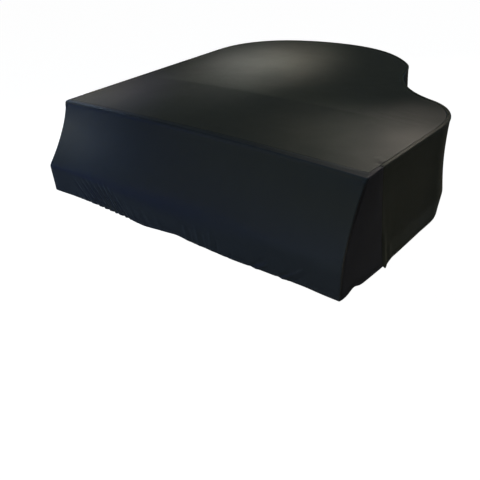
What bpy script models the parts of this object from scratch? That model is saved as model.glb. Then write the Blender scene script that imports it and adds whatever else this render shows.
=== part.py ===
"""A fitted dust cover for a closed baby grand piano, sewn from stretch cloth.

Five pieces are cut and sewn: the top on the lid, the front that falls from the lid to below the key
slip, a narrow cheek on each side of it, and one long strip round the shoulder, waist, tail and spine.
X points to the treble side, Y back to the tail and Z up. The origin is under the top panel, on the
spot where the piano's lid carries the cover. All lengths are in metres.
"""

import math
from collections import namedtuple

import bmesh
import bpy
from mathutils import Vector
from mathutils.geometry import delaunay_2d_cdt, intersect_point_line

# Driving sizes
WIDTH = 1.490  # across the two cheeks
LID_DEPTH = 1.400  # from the lid's front edge to the tail
MOUNT_DEPTH = 0.620  # from the lid's front edge to the mount
DROP = 0.370  # from the lid down to the hem of the front and the cheeks
RIM_DROP = 0.294  # to the lower edge of the piano's rim, from where the side strip draws in to its hem
HOLLOW_DROP = 0.320  # height over which the side strip bows in
KEY_DROP = 0.250  # to the key slip, where the front panel bends
KEY_REACH = 0.136  # how far the key slip stands in front of the lid
HEM_REACH = 0.138  # the same, at the middle of the front hem
HEM_SKEW = 0.008  # more than that at the treble end, and less at the bass end
BASS_FLARE = 0.0065  # how much further forwards the cloth stands at the bass end of the key slip and hem
SHEET = 0.002  # thickness of the cloth
GAP = 0.0003  # between two pieces, along their seam

# Edges and seams
EDGE_RISE = 0.002  # the side strip stands this much proud of the lid's edge, over its seam allowance
SIDE_ROUND = 0.008  # radius of the cloth over the lid's sides
FRONT_ROUND = 0.015  # radius of the cloth over the lid's front edge
CORNER_ROUND = 0.005  # radius of the front corners, seen from above
SIDE_LAP = 0.015  # how far the side pieces reach onto the lid
BASS_LAP = 0.017  # how far the front panel does, at its bass end
TREBLE_LAP = 0.026  # and at its treble end
SEAM_Y = 0.091  # upright side seam, behind the lid's front edge
SEAM_SLANT = 0.028  # how much further back its lower end is
SEAM_BLEND = 0.150  # length of strip that follows the slant

# Unevenness
CROWN = 0.014  # rise of the taut cloth over the middle of the lid
HINGE_Y = 0.452  # the lid's front flap is hinged here, behind its front edge
HINGE_RISE = 0.0025  # of the cloth's ridge over the hinge
HINGE_WIDTH = 0.012
HINGE_END = 0.71  # where the ridge ends, on either side
HINGE_FADE = 0.15  # length over which it fades out there
BASS_BELLY = -0.14  # bow of the sloping front, inwards at the bass end
TREBLE_BELLY = 0.11  # and outwards at the treble end
BEND_ROUND = 0.022  # softness of the bend at the key slip
PLEAT_WIDTH = 0.011  # half the width of a pleat's trough

HALF = WIDTH / 2
COLLECTION = "Grand_Piano_Cover"

# The plan outline of the lid, from the treble front corner round to the bass front corner. heading is
# the direction of travel in degrees. hollow is how far the strip bows in halfway down (it bows out
# across the waist), tuck how far its hem draws in, drop how far down the hem is, and steps the number
# of columns of cloth up to the next anchor.
Anchor = namedtuple("Anchor", "x y heading hollow tuck drop steps")
OUTLINE = (
    Anchor(HALF, SEAM_Y, 90, 0.000, 0.000, 0.378, 1),
    Anchor(HALF, 0.121, 90, 0.001, 0.004, 0.398, 2),
    Anchor(HALF, 0.180, 90, 0.002, 0.008, 0.383, 3),
    Anchor(HALF, 0.500, 90, 0.007, 0.015, 0.386, 7),
    Anchor(0.591, 0.750, 157, 0.018, 0.027, 0.393, 6),
    Anchor(0.345, 0.970, 121, -0.024, 0.002, 0.382, 6),
    Anchor(0.245, 1.199, 132, 0.004, 0.016, 0.387, 7),
    Anchor(-0.200, LID_DEPTH, 180, 0.012, 0.024, 0.388, 8),
    Anchor(-0.695, 1.180, 238, 0.013, 0.022, 0.386, 6),
    Anchor(-HALF, 0.920, 270, 0.005, 0.015, 0.384, 5),
    Anchor(-HALF, 0.240, 270, 0.003, 0.013, 0.386, 3),
    Anchor(-HALF, SEAM_Y, 270, 0.000, 0.006, 0.376, 0),
)
PULL = 0.37  # handle length of the outline's curves, as a share of the distance between anchors

# Rows of cloth, from the seam on the lid to the hem: 0 to 1 is the lap, 1 to 2 the rounded edge and
# 2 to 3 the fall.
ROWS = (0, 1, 1.5, 2, 2.1, 2.25, 2.4, 2.56, 2.64, 2.69, 2.75, 2.88, 3)

# Slanted pleats of the front panel below the key slip: where each starts, where it meets the hem and
# how deep it is.
Pleat = namedtuple("Pleat", "start_x start_fall hem_x depth")
PLEATS = (
    Pleat(-0.605, 0.262, -0.534, 0.003),
    Pleat(-0.530, 0.245, -0.445, 0.005),
    Pleat(-0.455, 0.240, -0.397, 0.004),
    Pleat(-0.415, 0.240, -0.366, 0.005),
    Pleat(-0.375, 0.250, -0.308, 0.004),
    Pleat(-0.340, 0.270, -0.247, 0.003),
)

# Dips of a hem below its even line: where, how wide and how deep. A negative dip is a rise.
Dip = namedtuple("Dip", "at width depth")
FRONT_DIPS = (
    Dip(-0.32, 0.10, 0.004),
    Dip(-0.17, 0.08, 0.011),
    Dip(0.02, 0.05, -0.006),
    Dip(0.28, 0.10, 0.004),
    Dip(0.60, 0.06, -0.003),
)
CHEEK_DIPS = (Dip(-0.065, 0.030, -0.013),)

# Columns of the front panel: the pleated stretch is the fine one.
Stretch = namedtuple("Stretch", "start end steps")
FRONT_STRETCHES = (
    Stretch(0.000, 0.080, 3),
    Stretch(0.080, 0.340, 32),
    Stretch(0.340, 1.000, 15),
)
CORNER_STEPS = 3
CHEEK_STEPS = 4

TOP_SPACING = 0.105  # between the points that carry the top panel's crown
TOP_MARGIN = 0.045  # kept between them and the top panel's edge


def lerp(a, b, share):
    return a + (b - a) * share


def smooth(share):
    share = min(max(share, 0.0), 1.0)
    return share * share * (3 - 2 * share)


def bell(x, centre, width):
    return math.exp(-(((x - centre) / width) ** 2))


def soft_minimum(a, b, softness):
    blend = max(softness - abs(a - b), 0.0) / softness
    return min(a, b) - blend * blend * softness / 4


def dip(table, at):
    return sum(row.depth * bell(at, row.at, row.width) for row in table)


def lid_height(x, y):
    """Height of the cloth on the lid above the lid's edge."""
    across = max(1 - (x / HALF) ** 2, 0.0)
    crown = CROWN * across * (1 - smooth(y / LID_DEPTH))
    ridge = HINGE_RISE * bell(y, HINGE_Y, HINGE_WIDTH) * smooth((HINGE_END - abs(x)) / HINGE_FADE)
    return crown + ridge


BASE = SHEET - lid_height(0, MOUNT_DEPTH)


def placed(x, y, height):
    """A point from its distances from the lid's front edge and rim, in the cover's own frame."""
    return Vector((x, y - MOUNT_DEPTH, BASE + height))


def tuck_share(fall, drop=DROP):
    """0 down to the rim's lower edge, 1 at the hem."""
    return max(fall - RIM_DROP, 0.0) / (drop - RIM_DROP)


def side_profile(row, hollow=0.0, tuck=0.0, drop=DROP):
    """Offset outwards from the lid's edge and fall below it, on a side."""
    if row <= 1:
        return lerp(-SIDE_LAP, -SIDE_ROUND, row), -EDGE_RISE * row
    if row <= 2:
        turn = (row - 1) * math.pi / 2
        return SIDE_ROUND * (math.sin(turn) - 1), SIDE_ROUND * (1 - math.cos(turn)) - EDGE_RISE
    fall = lerp(SIDE_ROUND - EDGE_RISE, drop, row - 2)
    share = min(fall, RIM_DROP) / HOLLOW_DROP
    bow = -hollow * 4 * share * (1 - share)
    return lerp(bow, -tuck, tuck_share(fall, drop)), fall


def front_profile(row, across):
    """Reach forwards from the lid's front edge and fall below it. across runs from bass 0 to treble 1."""
    belly = lerp(BASS_BELLY, TREBLE_BELLY, across)
    lean = math.atan(KEY_REACH / KEY_DROP * (1 + 4 * belly))
    turn = math.pi / 2 - lean
    start = -FRONT_ROUND * math.tan(turn / 2)
    if row <= 1:
        return lerp(-lerp(BASS_LAP, TREBLE_LAP, across), start, row), 0.0
    if row <= 2:
        angle = turn * (row - 1)
        return start + FRONT_ROUND * math.sin(angle), FRONT_ROUND * (1 - math.cos(angle))
    fall = lerp(FRONT_ROUND * (1 - math.cos(turn)), DROP, row - 2)
    share = fall / KEY_DROP
    flare = BASS_FLARE * bell(across, 0, 0.06)
    slope = (KEY_REACH + flare) * (share + 4 * belly * share * (1 - share))
    hem = HEM_REACH + HEM_SKEW * (2 * across - 1)
    below = lerp(KEY_REACH, hem, (fall - KEY_DROP) / (DROP - KEY_DROP)) + flare
    return soft_minimum(slope, below, BEND_ROUND), fall


def seam_y(fall):
    """Distance of the upright side seams behind the lid's front edge."""
    return SEAM_Y + SEAM_SLANT * max(fall / DROP, 0.0) ** 2


def pleat_depth(x, fall):
    """How far the pleats sink the front panel. They are fully deep halfway down to the hem."""
    depth = 0.0
    for pleat in PLEATS:
        share = (fall - pleat.start_fall) / (DROP - pleat.start_fall)
        line = lerp(pleat.start_x, pleat.hem_x, share)
        depth += pleat.depth * smooth(share * 2) * bell(x, line, PLEAT_WIDTH)
    return depth


def front_point(row, across, corner=0.0):
    """A point of the front panel. corner is the angle turned round a front corner, 0 on the front."""
    reach, fall = front_profile(row, across)
    offset, _ = side_profile(row)
    x = (2 * across - 1) * (HALF + offset - CORNER_ROUND)
    y = -reach + CORNER_ROUND * (1 - math.cos(corner)) + pleat_depth(x, fall)
    x += math.copysign(CORNER_ROUND * math.sin(corner), across - 0.5)
    crown = lid_height(x, 0) * (1 - smooth(fall / KEY_DROP))
    hem_dip = dip(FRONT_DIPS, x) * smooth((fall - KEY_DROP) / (DROP - KEY_DROP))
    return placed(x, y, crown - fall - hem_dip)


def cheek_point(row, along, sign, station):
    """A point of a cheek, from the front corner 0 to the side seam 1. sign is the side it is on."""
    point = front_point(row, (1 + sign) / 2, math.pi / 2).lerp(side_point(row, station), along)
    _, fall = side_profile(row)
    point.z -= dip(CHEEK_DIPS, point.y + MOUNT_DEPTH) * tuck_share(fall)
    return point


def heading_vector(degrees):
    return Vector((math.cos(math.radians(degrees)), math.sin(math.radians(degrees))))


def outline_stations(outline):
    """Place, outward direction and (hollow, tuck, drop) of each column of the side strip."""
    stations = []
    for here, there in zip(outline, outline[1:]):
        start = Vector((here.x, here.y))
        end = Vector((there.x, there.y))
        pull = PULL * (end - start).length
        handles = (start, start + heading_vector(here.heading) * pull,
                   end - heading_vector(there.heading) * pull, end)
        for step in range(here.steps + (there is outline[-1])):
            share = step / here.steps
            rest = 1 - share
            weights = (rest**3, 3 * rest**2 * share, 3 * rest * share**2, share**3)
            slopes = (-(rest**2), rest**2 - 2 * rest * share, 2 * rest * share - share**2, share**2)
            place = sum((h * w for h, w in zip(handles, weights)), Vector((0, 0)))
            travel = sum((h * w for h, w in zip(handles, slopes)), Vector((0, 0))).normalized()
            shape = [lerp(a, b, smooth(share)) for a, b in zip(here[3:6], there[3:6])]
            stations.append((place, Vector((travel.y, -travel.x)), shape))
    return stations


def side_point(row, station):
    """A point of the side strip at one of its stations."""
    place, away, shape = station
    offset, fall = side_profile(row, *shape)
    spot = place + away * offset
    spot.y += (seam_y(fall) - SEAM_Y) * max(1 - (place.y - SEAM_Y) / SEAM_BLEND, 0.0)
    return placed(spot.x, spot.y, lid_height(place.x, place.y) - fall)


def front_columns():
    """The front panel's columns from bass to treble: how far across, and the angle round the corner."""
    corner = [math.pi / 2 * step / CORNER_STEPS for step in range(CORNER_STEPS, 0, -1)]
    columns = [(0.0, angle) for angle in corner]
    for stretch in FRONT_STRETCHES:
        width = (stretch.end - stretch.start) / stretch.steps
        columns += [(stretch.start + width * step, 0.0) for step in range(stretch.steps)]
    columns.append((1.0, 0.0))
    return columns + [(1.0, angle) for angle in reversed(corner)]


def ring_columns(stations):
    """The cloth below the top panel as one closed ring of columns, and where each piece starts and ends."""
    steps = [step / CHEEK_STEPS for step in range(1, CHEEK_STEPS)]
    front = [[front_point(row, across, corner) for row in ROWS] for across, corner in front_columns()]
    right = [[cheek_point(row, along, 1, stations[0]) for row in ROWS] for along in steps]
    side = [[side_point(row, station) for row in ROWS] for station in stations]
    left = [[cheek_point(row, along, -1, stations[-1]) for row in ROWS] for along in reversed(steps)]
    front_end = len(front) - 1
    side_start = front_end + CHEEK_STEPS
    side_end = side_start + len(side) - 1
    spans = {
        "front_panel": (0, front_end),
        "cheek_panel_right": (front_end, side_start),
        "side_panel": (side_start, side_end),
        "cheek_panel_left": (side_end, side_end + CHEEK_STEPS),
    }
    return front + right + side + left, spans


def outward(ring, column, row):
    """The cloth's outward direction at a point of the ring."""
    here = ring[column][row]
    after = ring[(column + 1) % len(ring)][row]
    before = ring[column - 1][row]
    along = (after - here).normalized() + (here - before).normalized()
    down = Vector((0, 0, 0))
    if row > 0:
        down += (here - ring[column][row - 1]).normalized()
    if row < len(ROWS) - 1:
        down += (ring[column][row + 1] - here).normalized()
    return down.cross(along).normalized()


def pulled_in(lines):
    """Columns of points with the first and the last moved half a gap towards their neighbours."""
    first = [here + (there - here).normalized() * GAP / 2 for here, there in zip(lines[0], lines[1])]
    last = [here + (there - here).normalized() * GAP / 2 for here, there in zip(lines[-1], lines[-2])]
    return [first] + lines[1:-1] + [last]


def ring_piece(ring, start, end):
    """The solid sheet between two columns of the ring.

    Its thickness follows the whole ring, so that two pieces stay parallel along their seam.
    """
    numbers = [column % len(ring) for column in range(start, end + 1)]
    outer = pulled_in([ring[column] for column in numbers])
    inner = []
    for column in numbers:
        thickness = [outward(ring, column, row) * SHEET for row in range(len(ROWS))]
        inner.append([point - depth for point, depth in zip(ring[column], thickness)])
    return loft((outer, pulled_in(inner)))


def loft(layers):
    """A closed sheet between an outer and an inner grid of points, with its four edges."""
    sheet = bmesh.new()
    outer, inner = [[[sheet.verts.new(point) for point in line] for line in layer] for layer in layers]
    rows = len(outer[0])
    for column in range(len(outer) - 1):
        for row in range(rows - 1):
            corners = ((column, row), (column, row + 1), (column + 1, row + 1), (column + 1, row))
            sheet.faces.new([outer[c][r] for c, r in corners])
            sheet.faces.new([inner[c][r] for c, r in reversed(corners)])
    rim = [(column, 0) for column in range(len(outer) - 1)]
    rim += [(len(outer) - 1, row) for row in range(rows - 1)]
    rim += [(column, rows - 1) for column in range(len(outer) - 1, 0, -1)]
    rim += [(0, row) for row in range(rows - 1, 0, -1)]
    for here, there in zip(rim, rim[1:] + rim[:1]):
        (c, r), (d, s) = here, there
        if r <= s:
            sheet.faces.new((outer[c][r], outer[d][s], inner[d][s]))
            sheet.faces.new((outer[c][r], inner[d][s], inner[c][r]))
        else:
            sheet.faces.new((outer[c][r], outer[d][s], inner[c][r]))
            sheet.faces.new((outer[d][s], inner[d][s], inner[c][r]))
    return sheet


def clearance(spot, loop):
    """Distance from a spot to the nearest side of a closed loop."""
    nearest = math.inf
    for start, end in zip(loop, loop[1:] + loop[:1]):
        foot, share = intersect_point_line(spot, start, end)
        foot = start.lerp(end, min(max(share, 0.0), 1.0)).to_2d()
        nearest = min(nearest, (spot - foot).length)
    return nearest


def top_panel(ring):
    """The harp-shaped top: its outline, and inner points that carry the crown and the hinge ridge."""
    rim = [column[0] + (column[0] - column[1]).normalized() * GAP for column in ring]
    loop = [Vector((point.x, point.y + MOUNT_DEPTH)) for point in rim]
    levels = [HINGE_Y + HINGE_WIDTH * share for share in (-1.6, -0.7, 0, 0.7, 1.6)]
    count = round(LID_DEPTH / TOP_SPACING)
    levels += [y for y in (TOP_SPACING * (k + 0.5) for k in range(count)) if abs(y - HINGE_Y) > 0.05]
    inner = []
    for y in levels:
        for step in range(-7, 8):
            spot = Vector((step * TOP_SPACING, y))
            if clearance(spot, loop) > TOP_MARGIN:
                inner.append(spot)
    edges = [(k, (k + 1) % len(loop)) for k in range(len(loop))]
    spots, _, faces, *_ = delaunay_2d_cdt(loop + inner, edges, [], 1, 1e-7)
    points = rim + [placed(spot.x, spot.y, lid_height(spot.x, spot.y)) for spot in spots[len(rim):]]
    sheet = bmesh.new()
    corners = [sheet.verts.new(point) for point in points]
    for face in faces:
        sheet.faces.new([corners[number] for number in face])
    return sheet


def add_object(name, sheet, collection, material):
    mesh = bpy.data.meshes.new(name)
    sheet.to_mesh(mesh)
    sheet.free()
    mesh.materials.append(material)
    cloth = bpy.data.objects.new(name, mesh)
    collection.objects.link(cloth)
    return cloth


def cloth_material(name, colour):
    """Matt black stretch cloth."""
    material = bpy.data.materials.new(name)
    material.use_nodes = True
    shader = material.node_tree.nodes["Principled BSDF"]
    shader.inputs["Base Color"].default_value = (*colour, 1)
    shader.inputs["Roughness"].default_value = 0.6
    shader.inputs["Metallic"].default_value = 0.0
    return material


def clear_scene():
    for thing in list(bpy.data.objects):
        bpy.data.objects.remove(thing)


def main():
    clear_scene()
    collection = bpy.data.collections.new(COLLECTION)
    bpy.context.scene.collection.children.link(collection)
    ring, spans = ring_columns(outline_stations(OUTLINE))
    black = (0.012, 0.012, 0.011)
    blue_black = (0.010, 0.012, 0.014)
    top = add_object("top_panel", top_panel(ring), collection, cloth_material("top_cloth", black))
    thickness = top.modifiers.new("Thickness", "SOLIDIFY")
    thickness.thickness = SHEET
    thickness.offset = -1
    for name, (start, end) in spans.items():
        colour = black if name == "side_panel" else blue_black
        material = cloth_material(name.replace("panel", "cloth"), colour)
        add_object(name, ring_piece(ring, start, end), collection, material)


main()
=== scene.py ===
"""A fitted dust cover for a closed baby grand piano, cut and sewn from five panels of stretch cloth.

X points to the treble side, Y back to the tail and Z up. The origin is under the top panel, on the
spot where the piano's lid carries the cover. All lengths are in metres.
"""

import math
from bisect import bisect_right
from collections import namedtuple

import bpy
import numpy as np
from bpy.props import FloatProperty, FloatVectorProperty, PointerProperty
from bpy.types import Operator, Panel, PropertyGroup
from mathutils import Matrix, Vector, noise
from mathutils.geometry import delaunay_2d_cdt


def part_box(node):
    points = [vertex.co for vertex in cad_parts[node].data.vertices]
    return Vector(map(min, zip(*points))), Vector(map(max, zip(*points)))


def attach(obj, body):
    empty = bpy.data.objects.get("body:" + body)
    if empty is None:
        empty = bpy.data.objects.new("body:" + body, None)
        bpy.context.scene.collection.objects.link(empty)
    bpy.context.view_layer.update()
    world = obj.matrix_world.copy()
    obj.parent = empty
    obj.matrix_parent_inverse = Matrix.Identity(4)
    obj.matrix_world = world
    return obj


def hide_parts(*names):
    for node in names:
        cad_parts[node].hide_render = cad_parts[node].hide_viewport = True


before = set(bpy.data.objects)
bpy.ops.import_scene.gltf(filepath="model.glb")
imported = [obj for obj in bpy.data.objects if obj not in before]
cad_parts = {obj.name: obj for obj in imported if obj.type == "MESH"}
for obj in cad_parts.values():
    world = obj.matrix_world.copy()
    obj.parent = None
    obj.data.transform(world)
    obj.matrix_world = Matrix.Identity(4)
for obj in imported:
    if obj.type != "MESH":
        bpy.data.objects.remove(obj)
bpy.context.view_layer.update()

bl_info = {
    "name": "Grand Piano Cover",
    "version": (1, 0, 0),
    "blender": (4, 5, 0),
    "location": "View3D > Sidebar > Piano Cover",
    "description": "Cuts and sews a fitted stretch cover for a closed baby grand piano",
    "category": "Add Mesh",
}

SIDE_LOW, SIDE_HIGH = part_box("side_panel")
MOUNT_DEPTH = 0.620
LID_DEPTH = round(SIDE_HIGH.y + MOUNT_DEPTH, 3)
WIDTH = round(SIDE_HIGH.x - SIDE_LOW.x, 3)

# The plan outline of the lid, from the treble front corner round to the bass front corner. heading is
# the direction of travel in degrees. hollow is how far the strip bows in halfway down (it bows out
# across the waist), tuck how far its hem draws in and drop how far down the hem is.
Anchor = namedtuple("Anchor", "x y heading hollow tuck drop")
Station = namedtuple("Station", "place out shape distance")  # along it; shape is (hollow, tuck, drop)
OUTLINE = (
    Anchor(0.745, 0.091, 90, 0.000, 0.000, 0.378),
    Anchor(0.745, 0.121, 90, 0.001, 0.004, 0.398),
    Anchor(0.745, 0.180, 90, 0.002, 0.008, 0.383),
    Anchor(0.745, 0.500, 90, 0.007, 0.015, 0.386),
    Anchor(0.591, 0.750, 157, 0.018, 0.027, 0.393),
    Anchor(0.345, 0.970, 121, -0.024, 0.002, 0.382),
    Anchor(0.245, 1.199, 132, 0.004, 0.016, 0.387),
    Anchor(-0.200, 1.400, 180, 0.012, 0.024, 0.388),
    Anchor(-0.695, 1.180, 238, 0.013, 0.022, 0.386),
    Anchor(-0.745, 0.920, 270, 0.005, 0.015, 0.384),
    Anchor(-0.745, 0.240, 270, 0.003, 0.013, 0.386),
    Anchor(-0.745, 0.091, 270, 0.000, 0.006, 0.376),
)
OUTLINE_WIDTH, OUTLINE_DEPTH = 1.490, 1.400  # the lid that the outline is drawn for
PULL = 0.37  # handle length of the outline's curves, as a share of the distance between anchors
CURVE_STEPS = 90  # in each of those curves
BASS_BELLY = -0.14  # bow of the sloping front, inwards at the bass end
TREBLE_BELLY = 0.11  # and outwards at the treble end
RIDGE_REACH = 0.97  # how far the hinge's ridge reaches, as a share of half the lid's width
SIDE_BEAD = 0.6  # bead over the lid's sides, as a share of the one over its front edge
BEAD_FADE = 0.006  # height over which a bead fades out below the edge

# Slanted pleats of the front panel below the key slip: where each starts, where it meets the hem and
# how deep it is.
Pleat = namedtuple("Pleat", "start_x start_fall hem_x depth")
PLEATS = (
    Pleat(-0.600, 0.275, -0.507, 0.0026),
    Pleat(-0.555, 0.262, -0.455, 0.0030),
    Pleat(-0.525, 0.255, -0.418, 0.0048),
    Pleat(-0.488, 0.252, -0.386, 0.0034),
    Pleat(-0.447, 0.248, -0.352, 0.0046),
    Pleat(-0.412, 0.246, -0.327, 0.0030),
    Pleat(-0.385, 0.250, -0.290, 0.0044),
    Pleat(-0.345, 0.275, -0.262, 0.0022),
)

# Dips of a hem below its even line: where, how wide and how deep. A negative dip is a rise.
Dip = namedtuple("Dip", "at width depth")
FRONT_DIPS = (
    Dip(-0.32, 0.10, 0.004),
    Dip(-0.17, 0.08, 0.011),
    Dip(0.02, 0.05, -0.006),
    Dip(0.28, 0.10, 0.004),
    Dip(0.60, 0.06, -0.003),
)
CHEEK_DIPS = (Dip(-0.065, 0.030, -0.013),)

# Creases, from one spot of a panel to another: how wide, and how high (below zero it is a groove).
# Spots are (x, distance behind the lid's front edge) on the top, (x, fall) on the front,
# (distance behind the front edge, fall) on a cheek and (distance from the upright seam, fall) on the side.
Crease = namedtuple("Crease", "start end width height")
TOP_CREASES = (
    Crease((0.740, 0.096), (0.715, 0.112), 0.0030, -0.0042),
    Crease((0.736, 0.112), (0.690, 0.140), 0.0120, 0.0012),
    Crease((0.355, 0.905), (0.382, 0.940), 0.0070, 0.0016),
    Crease((0.345, 0.920), (0.368, 0.962), 0.0050, -0.0012),
    Crease((0.310, 0.825), (0.350, 0.836), 0.0050, -0.0008),
    Crease((0.520, 0.470), (0.665, 0.462), 0.0060, 0.0008),
    Crease((0.500, 0.515), (0.680, 0.505), 0.0060, 0.0007),
    Crease((0.540, 0.560), (0.660, 0.552), 0.0060, 0.0006),
)
FRONT_CREASES = (
    Crease((0.360, 0.384), (0.450, 0.322), 0.0050, -0.0024),
    Crease((0.372, 0.392), (0.462, 0.336), 0.0050, 0.0026),
    Crease((0.478, 0.384), (0.560, 0.334), 0.0048, -0.0024),
    Crease((0.492, 0.390), (0.600, 0.318), 0.0048, 0.0022),
    Crease((0.540, 0.380), (0.618, 0.330), 0.0045, -0.0014),
    Crease((0.262, 0.380), (0.300, 0.345), 0.0045, -0.0016),
    Crease((0.063, 0.311), (0.077, 0.372), 0.0085, 0.0014),
    Crease((0.085, 0.318), (0.099, 0.372), 0.0070, -0.0012),
    Crease((0.124, 0.302), (0.139, 0.372), 0.0080, 0.0015),
    Crease((0.152, 0.315), (0.164, 0.372), 0.0070, -0.0012),
    Crease((0.194, 0.292), (0.199, 0.372), 0.0085, 0.0013),
    Crease((0.225, 0.320), (0.226, 0.372), 0.0075, -0.0011),
    Crease((-0.180, 0.315), (-0.130, 0.375), 0.0120, -0.0012),
    Crease((-0.090, 0.325), (-0.060, 0.370), 0.0110, 0.0010),
)
CHEEK_CREASES = (
    Crease((0.004, 0.024), (0.030, 0.046), 0.0040, 0.0006),
    Crease((-0.004, 0.036), (0.016, 0.070), 0.0045, -0.0005),
    Crease((0.0985, 0.235), (0.1145, 0.372), 0.0018, -0.0016),
)
SIDE_CREASES = (
    Crease((0.015, 0.240), (0.022, 0.410), 0.0090, 0.0028),
    Crease((0.036, 0.300), (0.056, 0.410), 0.0080, -0.0022),
    Crease((0.060, 0.320), (0.090, 0.405), 0.0100, 0.0014),
    Crease((1.085, 0.008), (1.110, 0.034), 0.0045, -0.0034),
    Crease((1.075, 0.040), (1.090, 0.075), 0.0045, -0.0030),
)

# Soft lamps of the studio: where each stands and what it aims at, its size (the width of a soft box,
# or the opening of a spot in degrees), its power and its tint.
Lamp = namedtuple("Lamp", "name place aim size power tint")
SOFT_BOXES = (
    Lamp("bass_box", (-2.9, -3.4, -0.24), (0, 0, -0.05), 1.4, 6.5, (0.04, 0.12, 1.00)),
    Lamp("bench_box", (-1.45, -4.0, 1.54), (0, 0, -0.05), 1.4, 12.3, (0.98, 1.00, 0.60)),
    Lamp("front_box", (0, -4.5, -0.24), (0, 0, -0.05), 1.4, 15, (0.80, 0.94, 1.00)),
    Lamp("high_box", (0, -1.9, 4.1), (0, 0, -0.05), 1.6, 41, (0.49, 0.71, 1.00)),
    Lamp("back_box", (-3.0, 2.5, -0.52), (-0.5, 0.4, -0.25), 0.9, 50, (1.00, 0.99, 0.96)),
)
SPOTS = (
    Lamp("tail_spot", (-1.16, 2.11, 1.2), (-0.26, 0.41, 0), 12, 17, (1.00, 0.93, 0.75)),
    Lamp("tail_left_spot", (-1.3, 2.03, 1.2), (-0.40, 0.33, 0), 13, 13, (1.00, 0.85, 0.72)),
    Lamp("spine_spot", (-1.35, 1.88, 1.2), (-0.45, 0.18, 0), 14, 29, (0.96, 1.00, 0.92)),
    Lamp("hinge_spot", (-1.5, 1.8, 1.2), (-0.60, 0.10, 0), 14, 16, (1.00, 0.90, 0.86)),
    Lamp("bass_flap_spot", (-1.56, 1.21, 1.2), (-0.66, -0.49, 0), 14, 42, (0.72, 0.64, 1.00)),
    Lamp("bass_corner_spot", (-1.63, 1.16, 1.2), (-0.73, -0.54, 0), 10, 66, (1.00, 0.88, 0.52)),
    Lamp("flap_spot", (-0.5, 1.18, 1.2), (0.40, -0.52, 0), 14, 4, (1.00, 0.93, 0.70)),
    Lamp("treble_flap_spot", (-0.17, 1.04, 0.86), (0.60, -0.47, 0), 14, 6, (1.00, 0.98, 0.85)),
    Lamp("treble_rim_spot", (0.21, 1.27, 0.91), (0.71, -0.32, 0), 11, 25, (1.00, 0.88, 0.78)),
    Lamp("lap_spot", (-2.19, -0.57, 1.15), (-0.68, -0.62, -0.01), 14, 32, (0.54, 0.72, 1.00)),
    Lamp("bass_front_spot", (-2.21, -1.79, 0.25), (-0.70, -0.73, -0.20), 16, 8, (0.06, 0.30, 1.00)),
    Lamp("bass_end_spot", (-2.29, -1.69, 0.41), (-0.76, -0.68, -0.10), 10, 19, (1.00, 0.96, 0.65)),
    Lamp("cheek_spot", (2.4, -1.9, -0.5), (0.745, -0.50, -0.25), 26, 25, (1.00, 0.88, 0.54)),
)

CAMERA_PLACE = (1.637, -2.202, 0.8118)
CAMERA_TURNS = ((42.0, "Z"), (90 - 29.51, "X"), (-3.86, "Z"))  # to the left, down, and level
CAMERA_LENS = 48.92  # focal length in millimetres, on a sensor 36 mm wide

# Relief of the cloth. Waves are (length, height as a share of the slack).
SLACK_WAVES = ((0.17, 1.0), (0.055, 0.35))
PUCKER_LENGTH = 0.009  # of the small gathers beside a seam
PUCKER_FADE = 0.008  # distance from the seam over which they fade out
PUCKER_REACH = 0.03  # where they end
CREASE_END = 0.15  # how far a crease runs on past either end, as a share of its length
CREASE_FADE = 0.35  # length over which it fades out there, as the same share
KNOB_FALL, KNOB_HEIGHT = 0.018, 0.005  # how far below the lid the knob is, and half its height
KNOB_AWAY, KNOB_WIDTH = 0.012, 0.0045  # its distance from the corner seam, and half its width
PLEAT_BOW = 0.006  # how far a pleat's line bows to the bass side
TROUGH_WIDTH = 0.72  # of a pleat's trough, as a share of the pleat's width
BESIDE, BESIDE_WIDTH = 1.35, 0.60  # the low ridge beside it, as the same shares
BESIDE_HEIGHT = 0.45  # height of that ridge, as a share of the trough's depth
GATHER_TOP = 0.285  # how far below the lid the small gathers of the front hem begin
GATHER_BASS, GATHER_TREBLE = -0.63, -0.16  # and between which two places across
GATHER_SLANT = 0.5  # how much they lean
GATHER_LENGTHS = (0.008, 0.09)  # across them and along them
FRONT_TIGHT, SIDE_TIGHT = 0.02, 0.03  # how far from an upright seam the cloth is taut
FRONT_EDGE, SIDE_EDGE = 0.012, 0.007  # rough length of a lap, for the puckers on it
HEM_BAND = 0.0004  # how far the doubled hem stands out
BAND_FADE = 0.003  # height over which its upper edge fades
STITCH_DRAW = 0.0005  # how far a row of stitches draws the hem in
DRAW_WIDTH = 0.0012  # half the width of the groove that it makes
LIFT_FADE = 0.03  # distance over which the top panel settles from its seam onto the lid
RELIEF_FADE = 0.006  # distance from a seam over which a panel's relief fades in
SEAM_SHEEN_AND_WEAR = 0.007  # and over which the lighter seam, partly wear and partly painted highlight, fades out
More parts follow.
